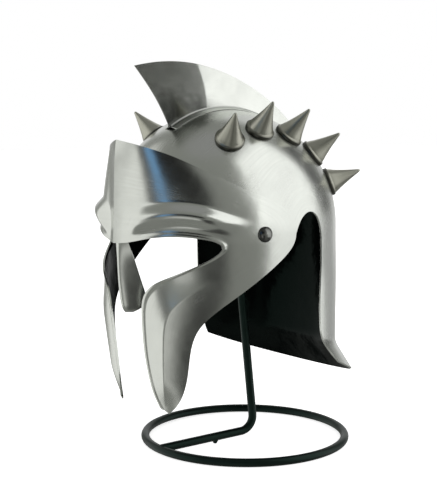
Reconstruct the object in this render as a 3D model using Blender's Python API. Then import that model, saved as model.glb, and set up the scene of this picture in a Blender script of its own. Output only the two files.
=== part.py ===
"""Gladiator helmet of polished sheet steel, resting on a black wire display stand.

Metres, +Z up. The face looks towards -Y and the wearer's left is +X. The origin is on the
table, under the middle of the whole thing. The bowl's own measures are taken from its upright
axis, and BOWL_Y places that axis.
"""

import math

import bmesh
import bpy
from mathutils import Matrix, Vector

MM = 0.001
SHARP_ANGLE = math.radians(35)  # edges that bend more than this are shaded sharp
MERGE_DISTANCE = 0.01 * MM

# Sheet and fits
SHEET = 1.6 * MM
SEAT_GAP = 0.3 * MM  # under a piece that sits on another
LAP_GAP = 1.0 * MM  # between the bowl and the face guard lapped over it

# Bowl: the upper half of an ellipsoid, from its widest line up
BOWL_Y = -1.3 * MM
BOWL_HALF_WIDTH = 98 * MM
BOWL_HALF_LENGTH = 115 * MM
BOWL_RISE = 109 * MM
EQUATOR_HEIGHT = 213 * MM

# Neck guard: the same sheet below the widest line, drawn in a little and then flared
NECK_HEIGHT = 118 * MM
NECK_HALF_WIDTH = 93 * MM
NECK_HALF_LENGTH = 107 * MM
NECK_SQUARENESS = 2.5
FLARE_SLOPE = 0.6
FLARE_BLEND = 10 * MM

# Rows of the bowl's sheet, from the forehead over the crown to the neck rim. Each starts on the
# middle line, at an angle from the front, and ends on the open edge at the side.
SKULL_ROWS = (  # angle in degrees, edge Y and edge height in mm
    (5, -45, 203),
    (19, -32, 199),
    (35, -16, 197),
    (50, -5, 199),
    (62, 0, 206),
    (73, 4.5, 217),
    (84, 11, 226),
    (95, 20, 230.5),
    (106, 29, 229),
    (118, 36, 222),
    (132, 40, 210),
    (147, 41, 198),
    (162, 41.5, 186),
    (177, 41.5, 174),
    (191, 41.5, 163),
    (204, 41.5, 150),
    (216, 42, 138.5),
    (226, 43, 128),
    (235.5, 44.5, 118),
    (243, 47.5, 108.5),
    (251, 51, 98.5),
    (259, 56, 88),
)
FLARE_ROW = 18.5  # where the flare begins, counted in these rows
ROW_SPREAD = math.radians(75)  # evens out the spacing along a row
SKULL_COLUMNS = 29
SKULL_ACROSS = 26

# Face guard: sheet round the front, from the brow over the temple down to the cheek's point
BROW_HEIGHT = 207 * MM
PEAK_HEIGHT = 296 * MM
BROW_PROUD = 5 * MM  # the front stands this far outside the bowl's half length
PEAK_PROUD = 2 * MM
FRONT_SPAN = math.radians(70)  # where the guard has come to lie on the bowl
CHEEK_DROP = 150 * MM
CHEEK_LEAN = 0.15  # share of the half axes by which the cheek's point leans in
CHEEK_LEAN_CURVE = 1.3
FACE_ROWS = (  # inner angle and height, outer angle and height, in degrees and mm
    (0, 205, 0, 296),
    (7, 206, 13, 291),
    (16, 209.5, 27, 283.5),
    (26, 212.5, 41, 273),
    (36, 213, 55, 262),
    (44, 211.5, 67, 252),
    (50, 209, 78, 243),
    (53.5, 204.5, 87, 230),
    (52, 198.5, 90, 214),
    (46, 191, 87, 199),
    (38, 184, 77, 182),
    (29, 177, 65, 165),
    (21, 170, 53, 149),
    (15.5, 159, 44, 134),
    (13.5, 144, 39.5, 119),
    (13, 126, 37.5, 103),
    (13, 108, 36, 87),
    (14, 89, 33.5, 72),
    (16, 71, 29.5, 60),
    (19.5, 57, 24.5, 51.5),
)
FACE_COLUMNS = 60
FACE_ACROSS = 10
FACE_CROWDING = 1.4  # crowds the faces towards the openings, where the relief is

# Relief of the face guard
KEEL_RISE = 5 * MM
KEEL_SPAN = math.radians(11)
KEEL_FADE = 20 * MM  # below and above the peak, over which the keel drops to its end share
KEEL_END_SHARE = 0.5
EYEBROW_RISE = 7 * MM
EYEBROW_MIDDLE = (0.19, 0.36)  # share of the way out from the eye, at its start and further on
EYEBROW_HALF_WIDTH = 0.2
EYEBROW_ROWS = (0.6, 1.8, 4.1, 6.6)  # counted in FACE_ROWS: start, full, full, end
RIM_RISE = 1.2 * MM
RIM_WIDTH = 5 * MM
RIM_ROWS = (0.5, 2)  # where it begins and where it is full
CHEEK_RIDGE_RISE = 5 * MM
CHEEK_RIDGE_ROWS = (10.5, 14, 16.5, 19)  # start, full, full, end

# Nasal: a ridged strip with its top tucked up behind the brow
NASAL_SHEET = 2 * MM
NASAL_SHARES = (-1, -0.5, 0, 0.5, 1)  # of the half width, across a section
NASAL_CURVE = 0.8
NASAL_ROWS = (  # height, half width, ridge Y, side Y in mm
    (226, 9.0, -124.0, -120.0),
    (207, 9.5, -123.6, -118.0),
    (190, 10.5, -122.9, -112.0),
    (172, 12.5, -122.0, -106.5),
    (158, 14.0, -120.5, -102.5),
    (150, 13.0, -119.2, -102.5),
    (145, 9.5, -117.5, -105.0),
    (141.5, 4.5, -115.0, -109.5),
)

# Crest fin: a web on a foot that follows the middle of the bowl
CREST_WEB = 3.2 * MM
CREST_FOOT_HALF_WIDTH = 9 * MM
CREST_FOOT_THICKNESS = 1.6 * MM
CREST_FILLET = 1.6 * MM
CREST_FRONT_BOW = 3 * MM
CREST_BOW_ROWS = 3  # rows over which the bow of the front edge dies out
CREST_SHARES = (0.33, 0.67, 1.0)  # of the web's height
CREST_TOP_ROUND = 0.8 * MM
CREST_STEPS = 24
CREST_ROWS = (  # foot angle in degrees, top edge Y and height in mm
    (57, -103, 360),
    (66, -76, 364),
    (78, -38, 363.5),
    (92, 4, 354),
    (107, 41, 338.5),
    (121, 70, 320.5),
    (135, 90.5, 302),
    (147, 104, 282.5),
    (157, 112.5, 263.5),
    (165, 116.8, 246),
)

# Studs: one row each side of the crest
STUD_ANGLES = (66, 88, 110, 132, 154)
STUD_SIDE_ANGLE = 34
STUD_PROFILE = (  # radius and height in mm
    (0.0, 0.0),
    (7.0, 0.0),
    (13.5, 0.0),
    (13.5, 2.2),
    (11.8, 3.4),
    (9.2, 9.0),
    (5.6, 18.5),
    (3.0, 26.5),
    (1.4, 31.0),
    (0.0, 32.2),
)
STUD_BASE_TOP = 1 * MM  # what lies lower is dished to the bowl
STUD_SIDES = 12

# Temple rivets
RIVET_ANGLE = math.radians(73.5)
RIVET_HEIGHT = 214 * MM
RIVET_HOLE_RADIUS = 1.95 * MM
RIVET_HOLE_DEPTH = 24 * MM
RIVET_PROFILE = (  # radius, and height above the face guard, in mm
    (0.0, 4.3),
    (3.0, 3.9),
    (5.4, 2.6),
    (7.0, 0.7),
    (7.0, 0.3),
    (1.65, 0.3),
    (1.65, -4.8),
    (5.5, -4.8),
    (5.5, -6.2),
    (0.0, -6.6),
)
RIVET_SIDES = 14

# Wire stand
WIRE_RADIUS = 4 * MM
WIRE_SIDES = 10
RING_Y = 28 * MM
RING_RADIUS = 98 * MM
RING_STEPS = 48
ARM_START_ANGLE = math.radians(4)  # from the front towards the wearer's right
ARM_START_HEIGHT = 5.5 * MM
ELBOW = Vector((11 * MM, 30 * MM, 11 * MM))
ELBOW_RADIUS = 14 * MM
ELBOW_STEPS = 5
POST_TOP = Vector((0, 4 * MM, 305.5 * MM))
HOOP_SHARE = 0.40  # of the bowl's half axes
HOOP_STEPS = 28


def smooth(share):
    """A step from 0 to 1 with level ends."""
    share = min(max(share, 0.0), 1.0)
    return share * share * (3 - 2 * share)


def mix(start, end, share):
    return start + (end - start) * share


def between(value, start, rise_end, fall_start, end):
    """Rises from 0 to 1, stays there, and falls back to 0."""
    return smooth((value - start) / (rise_end - start)) * smooth((end - value) / (end - fall_start))


def ramp(distance, blend):
    """Nothing below zero, then a parabola over the blend, then a straight slope of 1."""
    if distance <= 0:
        return 0.0
    if distance < blend:
        return distance * distance / (2 * blend)
    return distance - blend / 2


def along(rows, place):
    """The row at a fractional place in a table, on a smooth curve through its rows."""
    first = min(int(place), len(rows) - 2)
    share = place - first
    before, start, end, after = (
        rows[min(max(first + step, 0), len(rows) - 1)] for step in (-1, 0, 1, 2)
    )
    if first == 0:
        before = tuple(2 * a - b for a, b in zip(start, end))
    if first == len(rows) - 2:
        after = tuple(2 * b - a for a, b in zip(start, end))
    values = []
    for p0, p1, p2, p3 in zip(before, start, end, after):
        bend = 2 * p0 - 5 * p1 + 4 * p2 - p3
        twist = 3 * p1 - p0 - 3 * p2 + p3
        values.append(p1 + share * ((p2 - p0) + share * (bend + share * twist)) / 2)
    return values


def skirt(height):
    """Half width, half length and squareness of the neck guard at a height."""
    depth = smooth((EQUATOR_HEIGHT - height) / (EQUATOR_HEIGHT - NECK_HEIGHT))
    half_width = mix(BOWL_HALF_WIDTH, NECK_HALF_WIDTH, depth)
    half_length = mix(BOWL_HALF_LENGTH, NECK_HALF_LENGTH, depth)
    return half_width, half_length, mix(2, NECK_SQUARENESS, depth)


def skull_side(y, height):
    """How far out from the middle plane the bowl's sheet is."""
    if height >= EQUATOR_HEIGHT:
        rise = (height - EQUATOR_HEIGHT) / BOWL_RISE
        return BOWL_HALF_WIDTH * math.sqrt(max(0.0, 1 - rise**2 - (y / BOWL_HALF_LENGTH) ** 2))
    half_width, half_length, squareness = skirt(height)
    return half_width * max(0.0, 1 - abs(y / half_length) ** squareness) ** (1 / squareness)


def crown_line(angle):
    """Y and height of the bowl's middle line, at an angle from the front in degrees."""
    if angle <= 180:
        turn = math.radians(angle)
        return -BOWL_HALF_LENGTH * math.cos(turn), EQUATOR_HEIGHT + BOWL_RISE * math.sin(turn)
    height = EQUATOR_HEIGHT - BOWL_RISE * math.radians(angle - 180)
    return skirt(height)[1], height


def row_place(row, v):
    """Y and height of a place on a row of the bowl's sheet, v being -1 and 1 at its ends."""
    angle, edge_y, edge_height = along(SKULL_ROWS, row)
    crown_y, crown_height = crown_line(angle)
    out = (1 - math.cos(ROW_SPREAD * v)) / (1 - math.cos(ROW_SPREAD))
    return mix(crown_y, edge_y * MM, out), mix(crown_height, edge_height * MM, out)


def skull_point(u, v):
    """u runs from the forehead to the neck rim, and v from the right edge to the left one."""
    row = u * (len(SKULL_ROWS) - 1)
    v = 2 * v - 1
    y, height = row_place(row, v)
    point = Vector((math.copysign(skull_side(y, height), v), y, height))
    if row > FLARE_ROW:
        half_width, half_length, squareness = skirt(height)
        outwards = Vector(
            (
                math.copysign(abs(point.x / half_width) ** (squareness - 1) / half_width, v),
                abs(y / half_length) ** (squareness - 1) / half_length,
                0,
            )
        )
        drop = row_place(FLARE_ROW, v)[1] - height
        point += outwards.normalized() * FLARE_SLOPE * ramp(drop, FLARE_BLEND)
    return point + Vector((0, BOWL_Y, 0))


def guard_point(angle, height, relief=0.0):
    """The face guard's outer face at an angle round the bowl from the front."""
    above = max(0.0, height - EQUATOR_HEIGHT)
    hug = math.sqrt(1 - (above / BOWL_RISE) ** 2)
    climb = max(0.0, (height - BROW_HEIGHT) / (PEAK_HEIGHT - BROW_HEIGHT))
    stand = 1 + mix(BROW_PROUD, PEAK_PROUD, climb) / BOWL_HALF_LENGTH
    front = 0.0
    if abs(angle) < FRONT_SPAN:
        front = math.cos(math.pi / 2 * angle / FRONT_SPAN) ** 2
    drop = max(0.0, BROW_HEIGHT - height) / CHEEK_DROP
    share = mix(hug, stand, front) - CHEEK_LEAN * drop**CHEEK_LEAN_CURVE
    lift = SHEET + LAP_GAP
    normal = Vector((BOWL_HALF_LENGTH * math.sin(angle), -BOWL_HALF_WIDTH * math.cos(angle), 0))
    base = Vector(
        (
            (BOWL_HALF_WIDTH * share + lift) * math.sin(angle),
            BOWL_Y - (BOWL_HALF_LENGTH * share + lift) * math.cos(angle),
            height,
        )
    )
    return base + normal.normalized() * relief


def guard_relief(row, across, angle, height, distance):
    """Height of the keel, eyebrow, rolled rim and cheek ridge at a place on the face guard."""
    relief = 0.0
    if abs(angle) < KEEL_SPAN:
        fade = smooth((PEAK_HEIGHT + KEEL_FADE - height) / (2 * KEEL_FADE))
        relief += KEEL_RISE * (1 - abs(angle) / KEEL_SPAN) ** 2 * mix(KEEL_END_SHARE, 1, fade)
    climb = smooth((row - EYEBROW_ROWS[0]) / (EYEBROW_ROWS[2] - EYEBROW_ROWS[0]))
    middle = mix(*EYEBROW_MIDDLE, climb)
    bead = max(0.0, 1 - ((across - middle) / EYEBROW_HALF_WIDTH) ** 2) ** 2
    relief += EYEBROW_RISE * bead * between(row, *EYEBROW_ROWS)
    start, full = RIM_ROWS
    rim = max(0.0, 1 - distance / RIM_WIDTH)
    relief += RIM_RISE * smooth(2 * rim) * smooth((row - start) / (full - start))
    ridge = max(0.0, 1 - abs(2 * across - 1))
    return relief + CHEEK_RIDGE_RISE * ridge * between(row, *CHEEK_RIDGE_ROWS)


def face_point(u, v):
    """u runs from the right cheek's point over the brow to the left one, v from the openings out."""
    v = v**FACE_CROWDING
    row = abs(2 * u - 1) * (len(FACE_ROWS) - 1)
    side = math.copysign(1, 2 * u - 1)
    inner_angle, inner_height, outer_angle, outer_height = along(FACE_ROWS, row)
    angle = math.radians(mix(inner_angle, outer_angle, v))
    height = mix(inner_height, outer_height, v) * MM
    turn = math.radians(outer_angle - inner_angle) * BOWL_HALF_LENGTH
    width = math.hypot(turn, (outer_height - inner_height) * MM)
    relief = guard_relief(row, v, angle, height, v * width)
    return guard_point(side * angle, height, relief)


def bowl_point(angle, x, lift):
    """A point a little off the bowl's upper half, at an angle from the front and a distance x."""
    ring = math.sqrt(1 - (x / (BOWL_HALF_WIDTH + lift)) ** 2)
    y = -(BOWL_HALF_LENGTH + lift) * ring * math.cos(angle)
    return Vector((x, BOWL_Y + y, EQUATOR_HEIGHT + (BOWL_RISE + lift) * ring * math.sin(angle)))


def drop_to_bowl(point, axis, lift):
    """How far along the axis a point lies from the bowl's upper half, enlarged by the lift."""
    sizes = [size + lift for size in (BOWL_HALF_WIDTH, BOWL_HALF_LENGTH, BOWL_RISE)]
    centre = Vector((0, BOWL_Y, EQUATOR_HEIGHT))
    place = Vector(value / size for value, size in zip(point - centre, sizes))
    step = Vector(value / size for value, size in zip(axis, sizes))
    half = place.dot(step)
    root = half**2 - step.length_squared * (place.length_squared - 1)
    return (math.sqrt(root) - half) / step.length_squared


def material(name, colour, roughness, metallic):
    made = bpy.data.materials.new(name)
    made.use_nodes = True
    shader = made.node_tree.nodes["Principled BSDF"]
    shader.inputs["Base Color"].default_value = (*colour, 1)
    shader.inputs["Roughness"].default_value = roughness
    shader.inputs["Metallic"].default_value = metallic
    return made


def add_object(name, bm, finish=None):
    """Turns a bmesh into a linked object, shaded smooth but for its sharp edges."""
    mesh = bpy.data.meshes.new(name)
    bm.to_mesh(mesh)
    bm.free()
    mesh.shade_smooth()
    mesh.set_sharp_from_angle(angle=SHARP_ANGLE)
    if finish:
        mesh.materials.append(finish)
    obj = bpy.data.objects.new(name, mesh)
    bpy.context.scene.collection.objects.link(obj)
    return obj


def add_modifier(obj, name, kind, **settings):
    made = obj.modifiers.new(name, kind)
    for key, value in settings.items():
        setattr(made, key, value)


def helper(obj):
    """Marks a cutter, or a piece that is joined to another, so that it stays out of the model."""
    obj.hide_render = True
    obj.display_type = "WIRE"
    return obj


def sheet_grid(name, columns, rows, surface, finish):
    """A grid shaped by a surface function, given the sheet's thickness on its inner side."""
    bm = bmesh.new()
    bmesh.ops.create_grid(bm, x_segments=columns, y_segments=rows, size=0.5)
    for vert in bm.verts:
        vert.co = surface(vert.co.x + 0.5, vert.co.y + 0.5)
    bm.normal_update()
    middle = Vector((0, BOWL_Y, EQUATOR_HEIGHT))
    if sum(face.normal.dot(face.calc_center_median() - middle) for face in bm.faces) < 0:
        bmesh.ops.reverse_faces(bm, faces=bm.faces)
    obj = add_object(name, bm, finish)
    add_modifier(obj, "wall", "SOLIDIFY", thickness=SHEET, offset=-1, use_even_offset=True)
    return obj


def loft(name, sections, finish):
    """A closed skin through outlines that all have as many points."""
    bm = bmesh.new()
    outlines = [[bm.verts.new(point) for point in section] for section in sections]
    for near, far in zip(outlines, outlines[1:]):
        for side in range(len(near)):
            bm.faces.new((near[side - 1], near[side], far[side], far[side - 1]))
    bm.faces.new(outlines[0])
    bm.faces.new(outlines[-1])
    bmesh.ops.recalc_face_normals(bm, faces=bm.faces)
    return add_object(name, bm, finish)


def turned(profile, sides):
    """A bmesh spun about +Z from a profile of radii and heights in mm that ends on the axis."""
    bm = bmesh.new()
    verts = [bm.verts.new((radius * MM, 0, height * MM)) for radius, height in profile]
    edges = [bm.edges.new(pair) for pair in zip(verts, verts[1:])]
    bmesh.ops.spin(
        bm,
        geom=verts + edges,
        cent=(0, 0, 0),
        axis=(0, 0, 1),
        angle=math.tau,
        steps=sides,
        use_merge=True,
    )
    bmesh.ops.remove_doubles(bm, verts=bm.verts, dist=MERGE_DISTANCE)
    bmesh.ops.recalc_face_normals(bm, faces=bm.faces)
    return bm


def facing(point, direction):
    """Where a turned piece stands: its foot on the point and its axis along the direction."""
    return Matrix.Translation(point) @ direction.to_track_quat("Z", "Y").to_matrix().to_4x4()


def make_skull(finish):
    return sheet_grid("skull", SKULL_COLUMNS, SKULL_ACROSS, skull_point, finish)


def make_face_guard(finish):
    return sheet_grid("face_guard", FACE_COLUMNS, FACE_ACROSS, face_point, finish)


def rivet_stand(side):
    """Where a temple rivet's axis meets the face guard's outer face."""
    angle = side * RIVET_ANGLE
    outwards = Vector((BOWL_HALF_LENGTH * math.sin(angle), -BOWL_HALF_WIDTH * math.cos(angle), 0))
    return facing(guard_point(angle, RIVET_HEIGHT), outwards.normalized())


def make_rivet(name, side, sheets, finish):
    """The rivet, and the hole for its shank through both sheets."""
    rivet = add_object(name, turned(RIVET_PROFILE, RIVET_SIDES), finish)
    rivet.matrix_world = rivet_stand(side)
    bm = bmesh.new()
    bmesh.ops.create_cone(
        bm,
        cap_ends=True,
        segments=RIVET_SIDES,
        radius1=RIVET_HOLE_RADIUS,
        radius2=RIVET_HOLE_RADIUS,
        depth=RIVET_HOLE_DEPTH,
    )
    cutter = helper(add_object(f"{name}_hole", bm))
    cutter.matrix_world = rivet_stand(side)
    for sheet in sheets:
        add_modifier(sheet, f"{name}_hole", "BOOLEAN", operation="DIFFERENCE", object=cutter)


def nasal_section(height, half_width, ridge_y, side_y):
    """A shallow V of even thickness, seen from above."""
    outer = []
    for share in NASAL_SHARES:
        y = mix(ridge_y, side_y, abs(share) ** NASAL_CURVE)
        outer.append(Vector((half_width * share, y, height)) * MM)
    inner = [point + Vector((0, NASAL_SHEET, 0)) for point in reversed(outer)]
    return [point + Vector((0, BOWL_Y, 0)) for point in outer + inner]


def make_nasal(finish):
    steps = [step / 2 for step in range(2 * len(NASAL_ROWS) - 1)]
    sections = [nasal_section(*along(NASAL_ROWS, step)) for step in steps]
    return loft("nasal", sections, finish)


def crest_section(place):
    """The fin's outline at a place in its table: foot, fillets, web and top edge."""
    foot_angle, top_y, top_height = along(CREST_ROWS, place)
    angle = math.radians(foot_angle)
    web = CREST_WEB / 2
    foot_top = SEAT_GAP + CREST_FOOT_THICKNESS
    neck = bowl_point(angle, web, foot_top + CREST_FILLET)
    top = Vector((web, BOWL_Y + top_y * MM, top_height * MM))
    half = [
        bowl_point(angle, 0, SEAT_GAP),
        bowl_point(angle, CREST_FOOT_HALF_WIDTH / 2, SEAT_GAP),
        bowl_point(angle, CREST_FOOT_HALF_WIDTH, SEAT_GAP),
        bowl_point(angle, CREST_FOOT_HALF_WIDTH, foot_top),
        bowl_point(angle, web + CREST_FILLET, foot_top),
        neck,
    ]
    front = max(0.0, 1 - place / CREST_BOW_ROWS) ** 2
    for share in CREST_SHARES:
        bow = CREST_FRONT_BOW * front * math.sin(math.pi * share)
        half.append(neck.lerp(top, share) + Vector((0, bow, 0)))
    half.append(Vector((0, top.y, top.z + CREST_TOP_ROUND)))
    mirrored = [Vector((-point.x, point.y, point.z)) for point in reversed(half[1:-1])]
    return half + mirrored


def make_crest(finish):
    last = len(CREST_ROWS) - 1
    places = [last * step / CREST_STEPS for step in range(CREST_STEPS + 1)]
    return loft("crest_fin", [crest_section(place) for place in places], finish)


def make_stud(name, angle, side, finish):
    """A turned cone that stands square to the bowl, its base dished to sit on it."""
    spread = math.radians(STUD_SIDE_ANGLE)
    foot = bowl_point(angle, side * BOWL_HALF_WIDTH * math.sin(spread), 0)
    sizes = (BOWL_HALF_WIDTH, BOWL_HALF_LENGTH, BOWL_RISE)
    centre = Vector((0, BOWL_Y, EQUATOR_HEIGHT))
    axis = Vector(value / size**2 for value, size in zip(foot - centre, sizes)).normalized()
    stand = facing(foot, axis)
    bm = turned(STUD_PROFILE, STUD_SIDES)
    for vert in bm.verts:
        if vert.co.z < STUD_BASE_TOP:
            vert.co.z += drop_to_bowl(stand @ vert.co, axis, SEAT_GAP)
    stud = add_object(name, bm, finish)
    stud.matrix_world = stand


def wire(name, points, closed=False):
    """A rod along points. A closed one lies level, on a flat of its outline."""
    curve = bpy.data.curves.new(name, "CURVE")
    curve.dimensions = "3D"
    curve.twist_mode = "Z_UP" if closed else "MINIMUM"
    curve.bevel_depth = WIRE_RADIUS / math.cos(math.pi / WIRE_SIDES)
    curve.bevel_resolution = WIRE_SIDES // 2 - 2
    curve.use_fill_caps = not closed
    spline = curve.splines.new("POLY")
    spline.points.add(len(points) - 1)
    for place, point in zip(spline.points, points):
        place.co = (*point, 1)
    spline.use_cyclic_u = closed
    guide = bpy.data.objects.new(name, curve)
    bpy.context.scene.collection.objects.link(guide)
    graph = bpy.context.evaluated_depsgraph_get()
    mesh = bpy.data.meshes.new_from_object(guide.evaluated_get(graph))
    bpy.data.objects.remove(guide)
    bm = bmesh.new()
    bm.from_mesh(mesh)
    bmesh.ops.remove_doubles(bm, verts=bm.verts, dist=MERGE_DISTANCE)
    bmesh.ops.recalc_face_normals(bm, faces=bm.faces)
    return bm


def oval(centre, half_width, half_length, steps):
    turns = [math.tau * step / steps for step in range(steps)]
    return [centre + Vector((half_width * math.sin(t), -half_length * math.cos(t), 0)) for t in turns]


def elbow(start, corner, end, radius, steps):
    """The points of a round bend that replaces a corner."""
    back = (start - corner).normalized()
    ahead = (end - corner).normalized()
    half = back.angle(ahead) / 2
    centre = corner + (back + ahead).normalized() * radius / math.sin(half)
    reach = radius / math.tan(half)
    first = (corner + back * reach - centre).normalized()
    last = (corner + ahead * reach - centre).normalized()
    return [centre + radius * first.slerp(last, step / steps) for step in range(steps + 1)]


def make_stand(finish):
    """Ring on the table, arm and post of one bent rod, and a hoop with a cross rod on top."""
    middle = Vector((0, BOWL_Y, 0))
    ring_centre = Vector((0, RING_Y, WIRE_RADIUS)) + middle
    ring = add_object(
        "display_stand",
        wire("ring", oval(ring_centre, RING_RADIUS, RING_RADIUS, RING_STEPS), closed=True),
        finish,
    )
    start = Vector(
        (
            -RING_RADIUS * math.sin(ARM_START_ANGLE),
            RING_Y - RING_RADIUS * math.cos(ARM_START_ANGLE),
            ARM_START_HEIGHT,
        )
    )
    post_top = POST_TOP.copy()
    bend = elbow(start, ELBOW, post_top, ELBOW_RADIUS, ELBOW_STEPS)
    rod = [point + middle for point in (start, *bend, post_top)]
    hoop_centre = Vector((0, 0, POST_TOP.z)) + middle
    half_width = BOWL_HALF_WIDTH * HOOP_SHARE
    half_length = BOWL_HALF_LENGTH * HOOP_SHARE
    cross_y = Vector((0, POST_TOP.y, 0))
    reach = half_width * math.sqrt(1 - (POST_TOP.y / half_length) ** 2)
    cross = [hoop_centre + cross_y + Vector((end * reach, 0, 0)) for end in (-1, 1)]
    for name, bm in (
        ("rod", wire("rod", rod)),
        ("hoop", wire("hoop", oval(hoop_centre, half_width, half_length, HOOP_STEPS), closed=True)),
        ("cross_rod", wire("cross_rod", cross)),
    ):
        piece = helper(add_object(name, bm))
        add_modifier(ring, f"weld_{name}", "BOOLEAN", operation="UNION", object=piece)


def main():
    for obj in list(bpy.data.objects):
        bpy.data.objects.remove(obj)
    steel = material("polished_steel", (0.56, 0.56, 0.55), 0.24, 1)
    stud_steel = material("stud_steel", (0.42, 0.41, 0.37), 0.3, 1)
    black = material("black_paint", (0.012, 0.013, 0.014), 0.4, 0)
    skull = make_skull(steel)
    face_guard = make_face_guard(steel)
    make_nasal(steel)
    make_crest(steel)
    for side, word in ((1, "left"), (-1, "right")):
        make_rivet(f"rivet_{word}", side, (skull, face_guard), steel)
        for number, angle in enumerate(STUD_ANGLES, 1):
            make_stud(f"stud_{word}_{number}", math.radians(angle), side, stud_steel)
    make_stand(black)


main()
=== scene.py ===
"""Gladiator helmet of polished sheet steel on a black wire display stand, in a plain studio.

Metres, +Z up. The face looks towards -Y and the wearer's left is +X. Every piece sits where its
CAD node is. The bowl's own measures are taken from its upright axis, which stands at centre_y.
"""

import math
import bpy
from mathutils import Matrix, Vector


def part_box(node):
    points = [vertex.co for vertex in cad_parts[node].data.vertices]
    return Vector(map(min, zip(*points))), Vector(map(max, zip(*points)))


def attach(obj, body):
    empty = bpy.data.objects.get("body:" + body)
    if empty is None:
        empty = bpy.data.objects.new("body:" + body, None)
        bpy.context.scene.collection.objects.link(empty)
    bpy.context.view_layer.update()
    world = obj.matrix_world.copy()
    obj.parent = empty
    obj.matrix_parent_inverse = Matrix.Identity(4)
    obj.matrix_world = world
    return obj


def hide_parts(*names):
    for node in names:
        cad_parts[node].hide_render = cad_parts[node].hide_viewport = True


bl_info = {
    "name": "Gladiator helmet",
    "version": (1, 0, 0),
    "blender": (4, 5, 0),
    "location": "3D View > Sidebar > Helmet",
    "description": "Builds a steel gladiator helmet, its wire stand and a plain studio",
    "category": "Add Mesh",
}

import bmesh
import bpy
import numpy as np
from bpy.props import FloatProperty, FloatVectorProperty, PointerProperty
from mathutils import Matrix, Vector

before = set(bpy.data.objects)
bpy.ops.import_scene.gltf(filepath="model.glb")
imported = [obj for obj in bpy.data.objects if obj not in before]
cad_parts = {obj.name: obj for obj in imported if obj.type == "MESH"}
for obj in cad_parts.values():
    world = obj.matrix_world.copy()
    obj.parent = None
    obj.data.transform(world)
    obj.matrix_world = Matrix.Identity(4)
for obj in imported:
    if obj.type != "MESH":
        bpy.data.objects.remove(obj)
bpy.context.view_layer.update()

MM = 0.001
SKULL_LOW, SKULL_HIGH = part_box("skull")
STAND_LOW, STAND_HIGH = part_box("display_stand")
CREST_LOW, CREST_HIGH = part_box("crest_fin")
NASAL_LOW, NASAL_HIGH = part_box("nasal")
WIDEST_HEIGHT = 213 * MM
SHARP_ANGLE = math.radians(40)  # edges sharper than this stay crisp or are rounded
SAME_PLACE = 0.001 * MM  # corners nearer than this are merged

# Rounding of the pieces' sharp edges
SHEET_EDGE = 0.5 * MM
NASAL_EDGE = 0.6 * MM
WEB_EDGE = 0.4 * MM

# Faces along and across each sheet
BOWL_GRID = (170, 150)
FACE_GRID = (420, 44)
NASAL_GRID = (60, 24)
WEB_GRID = (260, 60)
FOOT_GRID = (160, 48)

# Rows of the bowl's sheet, from the forehead over the crown to the neck rim. Each starts on the
# middle line, at an angle from the front, and ends on the open edge at the side.
SKULL_ROWS = (  # angle in degrees, edge Y and edge height in mm
    (5, -45, 203),
    (19, -32, 199),
    (35, -16, 197),
    (50, -5, 199),
    (62, 0, 206),
    (73, 4.5, 217),
    (84, 11, 226),
    (95, 20, 230.5),
    (106, 29, 229),
    (118, 36, 222),
    (132, 40, 210),
    (147, 41, 198),
    (162, 41.5, 186),
    (177, 41.5, 174),
    (191, 41.5, 163),
    (204, 41.5, 150),
    (216, 42, 138.5),
    (226, 43, 128),
    (235.5, 44.5, 118),
    (243, 47.5, 108.5),
    (251, 51, 98.5),
    (259, 56, 88),
)
FLARE_ROW = 18.5  # where the flare begins, counted in these rows
FLARE_BLEND = 10 * MM  # depth over which it turns out to its full slope
ROW_SPREAD = math.radians(75)  # evens out the spacing along a row

# Rows of the face guard, from the brow's middle over the temple down to the cheek's point
FACE_ROWS = (  # inner angle and height, outer angle and height, in degrees and mm
    (0, 205, 0, 296),
    (7, 206, 13, 291),
    (16, 209.5, 27, 283.5),
    (26, 212.5, 41, 273),
    (36, 213, 55, 262),
    (44, 211.5, 67, 252),
    (50, 209, 78, 243),
    (53.5, 204.5, 87, 230),
    (52, 198.5, 90, 214),
    (46, 191, 87, 199),
    (38, 184, 77, 182),
    (29, 177, 65, 165),
    (21, 170, 53, 149),
    (15.5, 159, 44, 134),
    (13.5, 144, 39.5, 119),
    (13, 126, 37.5, 103),
    (13, 108, 36, 87),
    (14, 89, 33.5, 72),
    (16, 71, 29.5, 60),
    (19.5, 57, 24.5, 51.5),
)
FRONT_SPAN = math.radians(70)  # where the guard has come to lie on the bowl
BROW_HEIGHT = 207 * MM
PEAK_HEIGHT = 296 * MM
CHEEK_DROP = 150 * MM
KEEL_SPAN = math.radians(11)
KEEL_FADE = 20 * MM  # below and above the peak, over which the keel drops to its end share
KEEL_END_SHARE = 0.5
EYEBROW_MIDDLE = (0.19, 0.36)  # share of the way out from the eye, at its start and further on
EYEBROW_HALF_WIDTH = 0.2  # as a share of the same way
EYEBROW_ROWS = (0.6, 1.8, 4.1, 6.6)  # counted in FACE_ROWS: start, full, full, end
RIM_ROWS = (0.5, 2)  # where the rolled rim begins and where it is full
CHEEK_RIDGE_ROWS = (10.5, 14, 16.5, 19)  # start, full, full, end

NASAL_ROWS = (  # height, half width, ridge Y, side Y in mm
    (226, 9.0, -124.0, -120.0),
    (207, 9.5, -123.6, -118.0),
    (190, 10.5, -122.9, -112.0),
    (172, 12.5, -122.0, -106.5),
    (158, 14.0, -120.5, -102.5),
    (150, 13.0, -119.2, -102.5),
    (145, 9.5, -117.5, -105.0),
    (141.5, 4.5, -115.0, -109.5),
)
NASAL_ROUND = 0.3  # how far its ridge is rounded, as a share of the half width

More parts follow.
